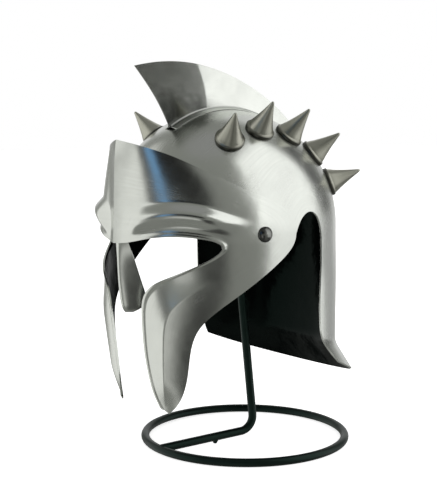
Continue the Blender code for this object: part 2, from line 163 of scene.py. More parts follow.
CREST_ROWS = (  # foot angle in degrees, top edge Y and height in mm
    (57, -103, 360),
    (66, -76, 364),
    (78, -38, 363.5),
    (92, 4, 354),
    (107, 41, 338.5),
    (121, 70, 320.5),
    (135, 90.5, 302),
    (147, 104, 282.5),
    (157, 112.5, 263.5),
    (165, 116.8, 246),
)
CREST_BOW_ROWS = 3  # rows over which the bow of the front edge dies out
FOOT_EDGE = 0.25 * MM  # thickness to which the fin's foot is hammered out at its edges
FOOT_BEVEL = 0.75  # share of its half width over which it thins
TOP_EDGE = 0.65 * MM  # above CREST_ROWS, where the solid's rounded edge reaches 0.8 mm
FIN_LINE_LOW = 322 * MM  # heights between which the line at the end of the thinned part runs
FIN_LINE_HIGH = 364 * MM
FIN_LINE_Y = -21 * MM  # where it starts, below
FIN_LINE_LEAN = 12 * MM  # how far it leans forward on the way up
FIN_LINE_BOW = 3 * MM  # how far its middle bows back

STUD_ANGLES = (66, 88, 110, 132, 154)  # from the front, in degrees
STUD_SIDES = 64
STUD_FOOT = 1 * MM  # height up to which a stud's base is dished to the bowl
STUD_PROFILE = (  # share of the base's radius, share of the height
    (0.0, 0.0),
    (0.5, 0.0),
    (0.975, 0.0),
    (1.0, 0.012),
    (1.0, 0.058),
    (0.982, 0.068),
    (0.9, 0.092),
    (0.872, 0.104),
    (0.858, 0.122),
    (0.79, 0.19),
    (0.68, 0.285),
    (0.545, 0.43),
    (0.412, 0.575),
    (0.3, 0.712),
    (0.2, 0.835),
    (0.13, 0.925),
    (0.098, 0.968),
    (0.06, 0.99),
    (0.0, 1.0),
)

RIVET_PROFILE = (  # share of the dome's radius, and height above the face guard in mm
    (0.0, 4.3),
    (0.2, 4.24),
    (0.4, 3.95),
    (0.58, 3.4),
    (0.74, 2.6),
    (0.88, 1.65),
    (0.97, 0.85),
    (1.0, 0.5),
    (0.97, 0.3),
    (0.235, 0.3),
    (0.235, -4.8),
    (0.74, -4.8),
    (0.786, -5.2),
    (0.76, -5.9),
    (0.4, -6.5),
    (0.0, -6.6),
)
RIVET_SIDES = 48
RIVET_ANGLE = math.radians(73.5)
RIVET_HEIGHT = 214 * MM

WIRE_SIDES = 20
RING_STEPS = 160
HOOP_STEPS = 90
ELBOW = Vector((11, 30, 11)) * MM
ELBOW_RADIUS = 14 * MM
ELBOW_STEPS = 16
ARM_START_ANGLE = math.radians(4)  # from the front towards the wearer's right
ARM_START_HEIGHT = 5.5 * MM
POST_TOP = Vector((0, 4, 305.5)) * MM
STUB_PLACE = 0.57  # share of the way from the ring to the elbow, where a cut-off stub hangs
STUB_PROFILE = (  # radius and height in mm, from its end up to the arm's middle
    (0, -6.4),
    (1.4, -6.4),
    (1.7, -6),
    (3.8, -2.5),
    (3.8, 0),
    (0, 0),
)

# Noise patterns: scale, detail and roughness
BRUSH_LINES = (1, 3, 0.6)
METAL_WAVES = (34, 2, 0.45)
SMUDGES = (26, 5, 0.6)
ORANGE_PEEL = (420, 2, 0.5)
PAINT_WAVES = (38, 3, 0.5)
DUST = (24, 5, 0.65)

# Colour, roughness, stretch of the brush lines along U and V, their depth, the depth of the
# waves, stretch of the highlight, and painted shade: where along V it is dark, where it ends, and
# how fast it also fades along U
METALS = {
    "polished_sheet": ("steel", 0.24, (6, 420, 1), 0.008 * MM, 0.35 * MM, 0.3, None),
    "face_steel": ("steel", 0.22, (10, 160, 1), 0.016 * MM, 0.3 * MM, 0.3, None),
    # the fin's painted shade is a painted dark reflection over its lower front part, fading up and
    # back
    "brushed_fin": ("fin", 0.13, (3, 160, 1), 0.004 * MM, 0.02 * MM, 0.9, (0.05, 0.8, 2)),
    # the foot's painted shade is a painted shadow along its middle, under the fin's web, darkest at
    # the front
    "welded_foot": ("steel", 0.3, (6, 210, 1), 0.008 * MM, 0.35 * MM, 0.3, (0.15, 0.6, 0.8)),
    # the studs' painted shade is a painted shadow round each stud's foot
    "stud_metal": ("studs", 0.38, (60, 3, 1), 0.012 * MM, 0.1 * MM, 0, (0.05, 0.11, 0)),
    # the rivets' painted shade is a painted shadow that darkens each dome towards its rim
    "rivet_metal": ("rivets", 0.24, (4, 40, 1), 0.006 * MM, 0.05 * MM, 0, (0.3, 0.8, 0)),
}
# Colour, roughness, depth of the orange peel and of the waves, and shine
PAINTS = {
    "inside_black": ("inside", 0.14, 0.01 * MM, 0.8 * MM, 0.048),
    "stand_paint": ("stand", 0.36, 0.02 * MM, 0.05 * MM, 0.19),
}
PAINT_SHEEN = (0.56, 1, 0.84, 1)  # tint of what the paints reflect

FLOOR_HALF_WIDTH = 6
WALL_DISTANCE = 12
HELMET_MIDDLE = 0.25  # height above the table, from which the walls' elevations count
SENSOR = 36  # of the camera, in mm

# Walls of light: what each lights, its azimuth from and to, counted from the camera's side, its
# elevation from and to, all in degrees, and its share of the wall's brightness
WALLS = {
    "white_wall": ("rest", 47, 117, -4, 66, 1),
    "low_wall": ("rest", 57, 117, -28, -4, 0.85),
    "fin_wall": ("fin", 78.1, 118, -30, 60, 1.07),
}


class HelmetBowl(bpy.types.PropertyGroup):
    """Sizes of the bowl and the neck guard under it."""

    half_width: FloatProperty(
        name="Half width",
        description="From the middle plane to the bowl's widest place, outside",
        default=SKULL_HIGH[0],
        unit="LENGTH",
    )
    half_length: FloatProperty(
        name="Half length",
        description="From the bowl's axis to its front and back, outside",
        default=115 * MM,
        unit="LENGTH",
    )
    widest_height: FloatProperty(
        name="Widest height",
        description="Height above the table at which the bowl is widest",
        default=WIDEST_HEIGHT,
        unit="LENGTH",
    )
    rise: FloatProperty(
        name="Rise",
        description="From the widest place up to the crown",
        default=SKULL_HIGH[2] - WIDEST_HEIGHT,
        unit="LENGTH",
    )
    centre_y: FloatProperty(
        name="Axis Y",
        description="Where the bowl's upright axis stands",
        default=-1.3 * MM,
        unit="LENGTH",
    )
    neck_height: FloatProperty(
        name="Neck height",
        description="Height at which the neck is narrowest",
        default=118 * MM,
        unit="LENGTH",
    )
    neck_half_width: FloatProperty(
        name="Neck half width",
        description="Half the neck's width there",
        default=93 * MM,
        unit="LENGTH",
    )
    neck_half_length: FloatProperty(
        name="Neck half length",
        description="From the axis to the back of the neck there",
        default=107 * MM,
        unit="LENGTH",
    )
    neck_squareness: FloatProperty(
        name="Neck squareness",
        description="2 is an ellipse, and more is squarer",
        default=2.5,
        min=2,
        max=6,
    )
    flare_slope: FloatProperty(
        name="Flare",
        description="How far the neck guard's rim turns out for each unit that it goes down",
        default=0.6,
        min=0,
        max=2,
    )
    sheet: FloatProperty(
        name="Sheet",
        description="Thickness of the steel sheet",
        default=1.6 * MM,
        unit="LENGTH",
    )


class HelmetFace(bpy.types.PropertyGroup):
    """Sizes of the face guard and the nasal."""

    lap_gap: FloatProperty(
        name="Lap gap",
        description="Between the bowl and the face guard lapped over it",
        default=1 * MM,
        unit="LENGTH",
    )
    brow_proud: FloatProperty(
        name="Brow in front",
        description="How far the brow stands in front of the bowl's half length",
        default=5 * MM,
        unit="LENGTH",
    )
    peak_proud: FloatProperty(
        name="Peak in front",
        description="How far the peak stands in front of the bowl's half length",
        default=2 * MM,
        unit="LENGTH",
    )
    cheek_lean: FloatProperty(
        name="Cheek lean",
        description="Share of the bowl's half axes by which the cheek's point leans in",
        default=0.15,
        subtype="FACTOR",
    )
    cheek_lean_curve: FloatProperty(
        name="Cheek lean curve",
        description="1 leans evenly, and more leans later",
        default=1.3,
    )
    keel_rise: FloatProperty(
        name="Keel",
        description="How far the keel stands out of the brow",
        default=4.9 * MM,
        unit="LENGTH",
    )
    eyebrow_rise: FloatProperty(
        name="Eyebrow",
        description="How far the embossed eyebrows stand out",
        default=7 * MM,
        unit="LENGTH",
    )
    rim_rise: FloatProperty(
        name="Rim rise",
        description="How far the rolled rim round the eyes and cheeks stands out",
        default=1.2 * MM,
        unit="LENGTH",
    )
    rim_width: FloatProperty(
        name="Rim width",
        description="Width of that rim",
        default=5 * MM,
        unit="LENGTH",
    )
    ridge_rise: FloatProperty(
        name="Cheek ridge",
        description="How far the ridge down each cheek guard stands out",
        default=5 * MM,
        unit="LENGTH",
    )
    nasal_sheet: FloatProperty(
        name="Nasal sheet",
        description="Thickness of the nasal",
        default=2 * MM,
        unit="LENGTH",
    )


class HelmetCrest(bpy.types.PropertyGroup):
    """Sizes of the crest fin."""

    web: FloatProperty(
        name="Web",
        description="Thickness of the fin",
        default=3.2 * MM,
        unit="LENGTH",
    )
    foot_half_width: FloatProperty(
        name="Foot half width",
        description="Half the width of the strip that the fin stands on",
        default=CREST_HIGH[0],
        unit="LENGTH",
    )
    foot_thickness: FloatProperty(
        name="Foot thickness",
        description="Thickness of that strip",
        default=1.6 * MM,
        unit="LENGTH",
    )
    fillet: FloatProperty(
        name="Fillet",
        description="Height and width of the weld between fin and strip",
        default=1.6 * MM,
        unit="LENGTH",
    )
    front_bow: FloatProperty(
        name="Front bow",
        description="How far the fin's front edge curves in",
        default=3 * MM,
        unit="LENGTH",
    )
    front_taper: FloatProperty(
        name="Front taper",
        description="How much each side of the fin thins for each unit forward, in its front part",
        default=0.017,
        min=0,
        max=0.018,
    )


class HelmetStuds(bpy.types.PropertyGroup):
    """Sizes of the studs and the temple rivets."""

    seat_gap: FloatProperty(
        name="Seat gap",
        description="Between the bowl and what sits on it",
        default=0.3 * MM,
        unit="LENGTH",
    )
    base_radius: FloatProperty(
        name="Stud base radius",
        description="Radius of a stud's round base",
        default=13.5 * MM,
        unit="LENGTH",
    )
    height: FloatProperty(
        name="Stud height",
        description="From the bowl to a stud's point",
        default=32.2 * MM,
        unit="LENGTH",
    )
    side_angle: FloatProperty(
        name="Stud row angle",
        description="How far each row of studs stands out from the crest, seen from the front",
        default=math.radians(34),
        subtype="ANGLE",
    )
    rivet_radius: FloatProperty(
        name="Rivet radius",
        description="Radius of a temple rivet's dome",
        default=7 * MM,
        unit="LENGTH",
    )


class HelmetStand(bpy.types.PropertyGroup):
    """Sizes of the wire stand."""

    wire_radius: FloatProperty(
        name="Wire radius",
        description="Radius of the steel rod that the stand is bent from",
        default=4 * MM,
        unit="LENGTH",
    )
    ring_radius: FloatProperty(
        name="Ring radius",
        description="From the ring's middle to the middle of its rod",
        default=98 * MM,
        unit="LENGTH",
    )
    ring_y: FloatProperty(
        name="Ring Y",
        description="How far the ring's middle lies behind the bowl's axis",
        default=28 * MM,
        unit="LENGTH",
    )
    hoop_share: FloatProperty(
        name="Hoop",
        description="Size of the hoop inside the bowl, as a share of the bowl's half axes",
        default=0.40,
        subtype="FACTOR",
    )


class HelmetColours(bpy.types.PropertyGroup):
    """Colours of the metals and paints."""

    steel: FloatVectorProperty(
        name="Sheet steel",
        description="Polished steel of the bowl and the face guard",
        default=(0.585, 0.602, 0.567),
        subtype="COLOR",
        min=0,
        max=1,
    )
    fin: FloatVectorProperty(
        name="Fin steel",
        description="Brushed steel of the crest fin",
        default=(0.605, 0.62, 0.585),
        subtype="COLOR",
        min=0,
        max=1,
    )
    studs: FloatVectorProperty(
        name="Stud metal",
        description="Pewter-grey metal of the studs",
        default=(0.42, 0.42, 0.36),
        subtype="COLOR",
        min=0,
        max=1,
    )
    rivets: FloatVectorProperty(
        name="Rivet metal",
        description="Dark steel of the temple rivets",
        default=(0.31, 0.32, 0.30),
        subtype="COLOR",
        min=0,
        max=1,
    )
    inside: FloatVectorProperty(
        name="Inside paint",
        description="Black paint inside the helmet",
        default=(0.0015, 0.002, 0.0018),
        subtype="COLOR",
        min=0,
        max=1,
    )
    stand: FloatVectorProperty(
        name="Stand paint",
        description="Satin black paint of the wire stand",
        default=(0.003, 0.0055, 0.0045),
        subtype="COLOR",
        min=0,
        max=1,
    )


class HelmetStage(bpy.types.PropertyGroup):
    """The studio, its lights and the camera."""

    floor: FloatVectorProperty(
        name="Floor",
        description="Colour of the table top",
        default=(0.9, 0.9, 0.9),
        subtype="COLOR",
        min=0,
        max=1,
    )
    room: FloatProperty(
        name="Room",
        description="Brightness of the grey room that the steel reflects",
        default=0.32,
        min=0,
    )
    wall: FloatProperty(
        name="White wall",
        description="Brightness of the white wall on the camera's right",
        default=1.4,
        min=0,
    )
    side_wall: FloatProperty(
        name="Side wall",
        description="Brightness of the light wall behind the camera's left",
        default=1.15,
        min=0,
    )
    window: FloatVectorProperty(
        name="Window",
        description="Colour of the daylight window on the camera's left",
        default=(0.22, 0.46, 0.80),
        subtype="COLOR",
        min=0,
        max=1,
    )
    azimuth: FloatProperty(
        name="Camera azimuth",
        description="Angle of the camera round the helmet, from the front to the wearer's left",
        default=math.radians(50),
        subtype="ANGLE",
    )
    pitch: FloatProperty(
        name="Camera pitch",
        description="How far the camera looks down",
        default=math.radians(7.1),
        subtype="ANGLE",
    )
    distance: FloatProperty(
        name="Camera distance",
        description="From the stand's ring to the camera, along the table",
        default=1.154,
        unit="LENGTH",
    )
    height: FloatProperty(
        name="Camera height",
        description="Height of the camera above the table",
        default=0.33,
        unit="LENGTH",
    )
    sideways: FloatProperty(
        name="Camera offset",
        description="How far the camera stands to the left of the ring's middle",
        default=0.0259,
        unit="LENGTH",
    )
    lens: FloatProperty(
        name="Lens",
        description="Focal length for a 36 mm frame height",
        default=86.4,
    )


def smooth(share):
    """A step from 0 to 1 with level ends."""
    share = min(max(share, 0.0), 1.0)
    return share * share * (3 - 2 * share)


def mix(start, end, share):
    return start + (end - start) * share


def between(value, start, rise_end, fall_start, end):
    """Rises from 0 to 1, stays there, and falls back to 0."""
    return smooth((value - start) / (rise_end - start)) * smooth((end - value) / (end - fall_start))


def ramp(distance, blend):
    """Nothing below zero, then a parabola over the blend, then a straight slope of 1."""
    if distance <= 0:
        return 0.0
    if distance < blend:
        return distance * distance / (2 * blend)
    return distance - blend / 2


class SmoothRows:
    """A curve without kinks through the rows of a table, at any place between them."""

    def __init__(self, rows):
        self.rows = np.array(rows, dtype=float)
        count = len(rows)
        weights = np.eye(count)
        bends = np.zeros_like(self.rows)
        for row in range(1, count - 1):
            weights[row, row - 1 : row + 2] = 1, 4, 1
            bends[row] = 6 * (self.rows[row - 1] - 2 * self.rows[row] + self.rows[row + 1])
        self.bends = np.linalg.solve(weights, bends)
        self.last = count - 1

    def at(self, place):
        first = min(int(place), self.last - 1)
        share = place - first
        rest = 1 - share
        values = rest * self.rows[first] + share * self.rows[first + 1]
        values += (rest**3 - rest) / 6 * self.bends[first]
        values += (share**3 - share) / 6 * self.bends[first + 1]
        return values.tolist()


SKULL_CURVE = SmoothRows(SKULL_ROWS)
FACE_CURVE = SmoothRows(FACE_ROWS)
NASAL_CURVE = SmoothRows(NASAL_ROWS)
CREST_CURVE = SmoothRows(CREST_ROWS)


def skirt(bowl, height):
    """Half width, half length and squareness of the neck guard at a height."""
    depth = smooth((bowl.widest_height - height) / (bowl.widest_height - bowl.neck_height))
    half_width = mix(bowl.half_width, bowl.neck_half_width, depth)
    half_length = mix(bowl.half_length, bowl.neck_half_length, depth)
    return half_width, half_length, mix(2, bowl.neck_squareness, depth)


def skull_side(bowl, y, height):
    """How far out from the middle plane the bowl's sheet is."""
    if height >= bowl.widest_height:
        rise = (height - bowl.widest_height) / bowl.rise
        return bowl.half_width * math.sqrt(max(0.0, 1 - rise**2 - (y / bowl.half_length) ** 2))
    half_width, half_length, squareness = skirt(bowl, height)
    return half_width * max(0.0, 1 - abs(y / half_length) ** squareness) ** (1 / squareness)


def crown_line(bowl, angle):
    """Y and height of the bowl's middle line, at an angle from the front in degrees."""
    if angle <= 180:
        turn = math.radians(angle)
        return -bowl.half_length * math.cos(turn), bowl.widest_height + bowl.rise * math.sin(turn)
    height = bowl.widest_height - bowl.rise * math.radians(angle - 180)
    return skirt(bowl, height)[1], height


def row_place(bowl, row, v):
    """Y and height of a place on a row of the bowl's sheet, v being -1 and 1 at its ends."""
    angle, edge_y, edge_height = SKULL_CURVE.at(row)
    crown_y, crown_height = crown_line(bowl, angle)
    out = (1 - math.cos(ROW_SPREAD * v)) / (1 - math.cos(ROW_SPREAD))
    return mix(crown_y, edge_y * MM, out), mix(crown_height, edge_height * MM, out)


def skull_point(bowl, u, v):
    """u runs from the forehead to the neck rim, and v from the right edge to the left one."""
    row = u * SKULL_CURVE.last
    v = 2 * v - 1
    y, height = row_place(bowl, row, v)
    point = Vector((math.copysign(skull_side(bowl, y, height), v), y, height))
    if row > FLARE_ROW:
        half_width, half_length, squareness = skirt(bowl, height)
        outwards = Vector(
            (
                math.copysign(abs(point.x / half_width) ** (squareness - 1) / half_width, v),
                abs(y / half_length) ** (squareness - 1) / half_length,
                0,
            )
        )
        drop = row_place(bowl, FLARE_ROW, v)[1] - height
        point += outwards.normalized() * bowl.flare_slope * ramp(drop, FLARE_BLEND)
    return point + Vector((0, bowl.centre_y, 0))


def guard_normal(bowl, angle):
    return Vector(
        (bowl.half_length * math.sin(angle), -bowl.half_width * math.cos(angle), 0)
    ).normalized()


def guard_point(bowl, face, angle, height, relief=0.0):
    """The face guard's outer face at an angle round the bowl from the front."""
    above = max(0.0, height - bowl.widest_height)
    hug = math.sqrt(1 - (above / bowl.rise) ** 2)
    climb = max(0.0, (height - BROW_HEIGHT) / (PEAK_HEIGHT - BROW_HEIGHT))
    stand = 1 + mix(face.brow_proud, face.peak_proud, climb) / bowl.half_length
    front = 0.0
    if abs(angle) < FRONT_SPAN:
        front = math.cos(math.pi / 2 * angle / FRONT_SPAN) ** 2
    drop = max(0.0, BROW_HEIGHT - height) / CHEEK_DROP
    share = mix(hug, stand, front) - face.cheek_lean * drop**face.cheek_lean_curve
    lift = bowl.sheet + face.lap_gap
    base = Vector(
        (
            (bowl.half_width * share + lift) * math.sin(angle),
            bowl.centre_y - (bowl.half_length * share + lift) * math.cos(angle),
            height,
        )
    )
    return base + guard_normal(bowl, angle) * relief


def guard_relief(face, row, across, angle, height, distance):
    """Height of the keel, eyebrow, rolled rim and cheek ridge at a place on the face guard."""
    relief = 0.0
    if abs(angle) < KEEL_SPAN:
        fade = smooth((PEAK_HEIGHT + KEEL_FADE - height) / (2 * KEEL_FADE))
        relief += face.keel_rise * (1 - abs(angle) / KEEL_SPAN) ** 2 * mix(KEEL_END_SHARE, 1, fade)
    climb = smooth((row - EYEBROW_ROWS[0]) / (EYEBROW_ROWS[2] - EYEBROW_ROWS[0]))
    middle = mix(*EYEBROW_MIDDLE, climb)
    bead = max(0.0, 1 - ((across - middle) / EYEBROW_HALF_WIDTH) ** 2) ** 2
    relief += face.eyebrow_rise * bead * between(row, *EYEBROW_ROWS)
    start, full = RIM_ROWS
    rim = max(0.0, 1 - distance / face.rim_width)
    relief += face.rim_rise * smooth(2 * rim) * smooth((row - start) / (full - start))
    ridge = max(0.0, 1 - abs(2 * across - 1))
    return relief + face.ridge_rise * ridge * between(row, *CHEEK_RIDGE_ROWS)


def face_point(bowl, face, u, v):
    """u runs from the right cheek's point over the brow to the left one, v from the openings out."""
    row = abs(2 * u - 1) * FACE_CURVE.last
    side = math.copysign(1, 2 * u - 1)
    inner_angle, inner_height, outer_angle, outer_height = FACE_CURVE.at(row)
    angle = math.radians(mix(inner_angle, outer_angle, v))
    height = mix(inner_height, outer_height, v) * MM
    turn = math.radians(outer_angle - inner_angle) * bowl.half_length
    width = math.hypot(turn, (outer_height - inner_height) * MM)
    relief = guard_relief(face, row, v, angle, height, v * width)
    return guard_point(bowl, face, side * angle, height, relief)


def nasal_point(bowl, u, v):
    """u runs from the top down, and v across a shallow V with a rounded ridge."""
    height, half_width, ridge_y, side_y = NASAL_CURVE.at(u * NASAL_CURVE.last)
    share = 2 * v - 1
    out = math.hypot(share, NASAL_ROUND) - NASAL_ROUND
    out /= math.hypot(1, NASAL_ROUND) - NASAL_ROUND
    point = Vector((half_width * share, mix(ridge_y, side_y, out), height)) * MM
    return point + Vector((0, bowl.centre_y, 0))


def web_half_width(crest, bowl, place):
    """Half the fin's thickness: full behind the line where its thinned front part ends."""
    share = (place.z - FIN_LINE_LOW) / (FIN_LINE_HIGH - FIN_LINE_LOW)
    line = bowl.centre_y + FIN_LINE_Y - FIN_LINE_LEAN * share + FIN_LINE_BOW * 4 * share * (1 - share)
    return crest.web / 2 - crest.front_taper * max(0.0, line - place.y)


def bowl_centre(bowl):
    return Vector((0, bowl.centre_y, bowl.widest_height))


def bowl_point(bowl, angle, x, lift):
    """A point a little off the bowl's upper half, at an angle from the front and a distance x."""
    ring = math.sqrt(1 - (x / (bowl.half_width + lift)) ** 2)
    y = -(bowl.half_length + lift) * ring * math.cos(angle)
    height = bowl.widest_height + (bowl.rise + lift) * ring * math.sin(angle)
    return Vector((x, bowl.centre_y + y, height))


def drop_to_bowl(bowl, point, axis, lift):
    """How far along the axis a point lies from the bowl's upper half, enlarged by the lift."""
    sizes = [size + lift for size in (bowl.half_width, bowl.half_length, bowl.rise)]
    place = Vector(value / size for value, size in zip(point - bowl_centre(bowl), sizes))
    step = Vector(value / size for value, size in zip(axis, sizes))
    half = place.dot(step)
    root = half**2 - step.length_squared * (place.length_squared - 1)
    return (math.sqrt(root) - half) / step.length_squared


def add_node(tree, kind, inputs=None, **settings):
    """A shader node, with its fixed settings and the values or links of its inputs."""
    node = tree.nodes.new(kind)
    for key, value in settings.items():
        setattr(node, key, value)
    for key, value in (inputs or {}).items():
        if isinstance(value, bpy.types.NodeSocket):
            tree.links.new(value, node.inputs[key])
        else:
            node.inputs[key].default_value = value
    return node


def new_material(name):
    made = bpy.data.materials.new(name)
    made.use_nodes = True
    made.node_tree.nodes.clear()
    return made.node_tree


def pattern(tree, place, noise, stretch=None):
    """A noise pattern's value, on a place that may be stretched first."""
    if stretch:
        place = add_node(
            tree, "ShaderNodeMapping", {"Vector": place, "Scale": stretch}
        ).outputs["Vector"]
    scale, detail, rough = noise
    inputs = {"Vector": place, "Scale": scale, "Detail": detail, "Roughness": rough}
    return add_node(tree, "ShaderNodeTexNoise", inputs).outputs["Fac"]


def remap(tree, value, low, high, to_low, to_high, **settings):
    """Stretches a value from one range to another, without leaving it."""
    inputs = {"Value": value, "From Min": low, "From Max": high, "To Min": to_low, "To Max": to_high}
    return add_node(tree, "ShaderNodeMapRange", inputs, **settings).outputs["Result"]


def maths(tree, operation, *values):
    """The result of a sum on one, two or three values."""
    return add_node(
        tree, "ShaderNodeMath", dict(enumerate(values)), operation=operation
    ).outputs[0]


def mixed(tree, share, first, second):
    """The first colour where the share is 0, and the second where it is 1."""
    return add_node(
        tree, "ShaderNodeMix", {0: share, 6: first, 7: second}, data_type="RGBA"
    ).outputs[2]


def shade(colour, share):
    """A colour made darker or lighter, for a socket that also takes an alpha."""
    return (*(value * share for value in colour), 1)


def bump(tree, height, depth, **normal):
    """The normal that a height pattern gives, on top of another normal where one is given."""
    return add_node(
        tree, "ShaderNodeBump", {"Height": height, "Strength": 1.0, "Distance": depth, **normal}
    ).outputs["Normal"]


def polished_metal(
    name, colour, roughness, brush_stretch, brush_depth, wave_depth, stretch, painted_shade
):
    """Metal with brush lines, a slightly wavy face and smudges.

    The highlight is stretched across the brush lines, which run along the UV map's U. Painted shade
    gives the places along V between which a dark base fades out, and how fast it also fades along U:
    a painted shadow at a piece's foot, or a painted dark reflection.
    """
    tree = new_material(name)
    coords = add_node(tree, "ShaderNodeTexCoord").outputs
    brush = pattern(tree, coords["UV"], BRUSH_LINES, brush_stretch)
    waves = pattern(tree, coords["Object"], METAL_WAVES)
    smudges = pattern(tree, coords["Object"], SMUDGES)
    rough = maths(
        tree,
        "ADD",
        remap(tree, smudges, 0.35, 0.68, roughness - 0.03, roughness + 0.05),
        remap(tree, brush, 0.3, 0.7, -0.03, 0.03),
    )
    smudged = remap(tree, smudges, 0.4, 0.75, 0, 0.35)
    tint = mixed(tree, smudged, shade(colour, 1), shade(colour, 0.86))
    tint = mixed(tree, remap(tree, brush, 0.3, 0.7, 0, 0.3), tint, shade(colour, 0.8))
    # painted shade: the base is darkened where a shadow falls at a piece's foot, or where a dark
    # reflection lies on the fin
    if painted_shade:
        dark, unshaded, lean = painted_shade
        flat = add_node(tree, "ShaderNodeSeparateXYZ", {0: coords["UV"]}).outputs
        along = maths(tree, "MULTIPLY_ADD", flat["X"], lean, flat["Y"])
        uneven = remap(tree, smudges, 0.3, 0.7, -0.12 * unshaded, 0.12 * unshaded)
        edge = maths(tree, "ADD", along, uneven)
        tint = mixed(tree, remap(tree, edge, dark, unshaded, 0.85, 0), tint, shade(colour, 0.08))
    tangent = add_node(tree, "ShaderNodeTangent", direction_type="UV_MAP", uv_map="UVMap")
    shader = add_node(
        tree,
        "ShaderNodeBsdfPrincipled",
        {
            "Base Color": tint,
            "Metallic": 1.0,
            "Roughness": rough,
            "Anisotropic": stretch,
            "Anisotropic Rotation": 0.25,
            "Tangent": tangent.outputs[0],
            "Normal": bump(tree, brush, brush_depth, Normal=bump(tree, waves, wave_depth)),
        },
    )
    add_node(tree, "ShaderNodeOutputMaterial", {"Surface": shader.outputs[0]})


def black_paint(name, colour, roughness, peel_depth, wave_depth, shine):
    """Paint with a faint orange peel over a slightly wavy face, dusty in places."""
    tree = new_material(name)
    place = add_node(tree, "ShaderNodeTexCoord").outputs["Object"]
    peel = pattern(tree, place, ORANGE_PEEL)
    waves = pattern(tree, place, PAINT_WAVES)
    dust = pattern(tree, place, DUST)
    dusty = remap(tree, dust, 0.45, 0.8, 0, 1)
    shader = add_node(
        tree,
        "ShaderNodeBsdfPrincipled",
        {
            "Base Color": mixed(tree, dusty, shade(colour, 1), shade(colour, 2.2)),
            "Roughness": remap(tree, dust, 0.35, 0.75, roughness - 0.05, roughness + 0.12),
            "Specular IOR Level": shine,
            "Specular Tint": PAINT_SHEEN,
            "Normal": bump(tree, peel, peel_depth, Normal=bump(tree, waves, wave_depth)),
        },
    )
    add_node(tree, "ShaderNodeOutputMaterial", {"Surface": shader.outputs[0]})


def material(name):
    """The named material, made on first use from the panel's colours."""
    if name not in bpy.data.materials:
        make, finishes = (polished_metal, METALS) if name in METALS else (black_paint, PAINTS)
        colour, *finish = finishes[name]
        make(name, getattr(bpy.context.scene.helmet_colours, colour), *finish)
    return bpy.data.materials[name]


def new_mesh(name, bm):
    mesh = bpy.data.meshes.new(name)
    bm.to_mesh(mesh)
    bm.free()
    return mesh


def new_object(name, data):
    made = bpy.data.objects.new(name, data)
    bpy.context.scene.collection.objects.link(made)
    return made


def add_piece(name, bm, materials, node):
    """Links a bmesh as a piece that stands for a CAD node, shaded smooth but for sharp edges."""
    mesh = new_mesh(name, bm)
    mesh.shade_smooth()
    mesh.set_sharp_from_angle(angle=SHARP_ANGLE)
    for each in materials:
        mesh.materials.append(material(each))
    piece = new_object(name, mesh)
    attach(piece, "root")
    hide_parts(node)
    return piece


def add_modifier(piece, name, kind, **settings):
    made = piece.modifiers.new(name, kind)
    for key, value in settings.items():
        setattr(made, key, value)


def round_edges(piece, width):
    add_modifier(
        piece,
        "edges",
        "BEVEL",
        width=width,
        segments=3,
        limit_method="ANGLE",
        angle_limit=SHARP_ANGLE,
        harden_normals=True,
    )


def shaped_grid(faces, surface, centre=None):
    """A grid with a UV map, moved onto a surface, its faces away from the centre."""
    bm = bmesh.new()
    bm.loops.layers.uv.new("UVMap")
    bmesh.ops.create_grid(bm, x_segments=faces[0], y_segments=faces[1], size=0.5, calc_uvs=True)
    for vert in bm.verts:
        vert.co = surface(vert.co.x + 0.5, vert.co.y + 0.5)
    bm.normal_update()
    if centre and sum(face.normal.dot(face.calc_center_median() - centre) for face in bm.faces) < 0:
        bmesh.ops.reverse_faces(bm, faces=bm.faces)
    return bm


def add_sheet(name, outside, node, faces, surface, thickness, edge):
    """Adds a steel sheet that is painted black on its inner side, with rounded edges."""
    bm = shaped_grid(faces, surface, bowl_centre(bpy.context.scene.helmet_bowl))
    piece = add_piece(name, bm, (outside, "inside_black"), node)
    add_modifier(
        piece,
        "wall",
        "SOLIDIFY",
        thickness=thickness,
        offset=-1,
        use_even_offset=True,
        material_offset=1,
    )
    round_edges(piece, edge)


def close_up(bm):
    """Merges the corners that meet, and turns every face outwards."""
    bmesh.ops.remove_doubles(bm, verts=bm.verts, dist=SAME_PLACE)
    bmesh.ops.recalc_face_normals(bm, faces=bm.faces)


def turned(profile, wide, tall, sides, place):
    """A bmesh spun from a profile of radii and heights, in units of wide and tall.

    Its UV map goes round and along. Then it is moved from the +Z axis to its place.
    """
    bm = bmesh.new()
    verts = [bm.verts.new((radius * wide, 0, height * tall)) for radius, height in profile]
    edges = [bm.edges.new(pair) for pair in zip(verts, verts[1:])]
    bmesh.ops.spin(
        bm,
        geom=verts + edges,
        cent=(0, 0, 0),
        axis=(0, 0, 1),
        angle=math.tau,
        steps=sides,
        use_merge=True,
    )
    close_up(bm)
    top = max(abs(height * tall) for _, height in profile)
    uv = bm.loops.layers.uv.new("UVMap")
    for face in bm.faces:
        middle = face.calc_center_median()
        start = math.atan2(middle.y, middle.x)
        for loop in face.loops:
            turn = math.atan2(loop.vert.co.y, loop.vert.co.x) - start
            turn = (turn + math.pi) % math.tau - math.pi + start
            loop[uv].uv = (turn / math.tau + 0.5, loop.vert.co.z / top)
    bmesh.ops.transform(bm, matrix=place, verts=bm.verts)
    return bm


def facing(point, direction):
    """Where a turned piece stands: its foot on the point and its axis along the direction."""
    return Matrix.Translation(point) @ direction.to_track_quat("Z", "Y").to_matrix().to_4x4()


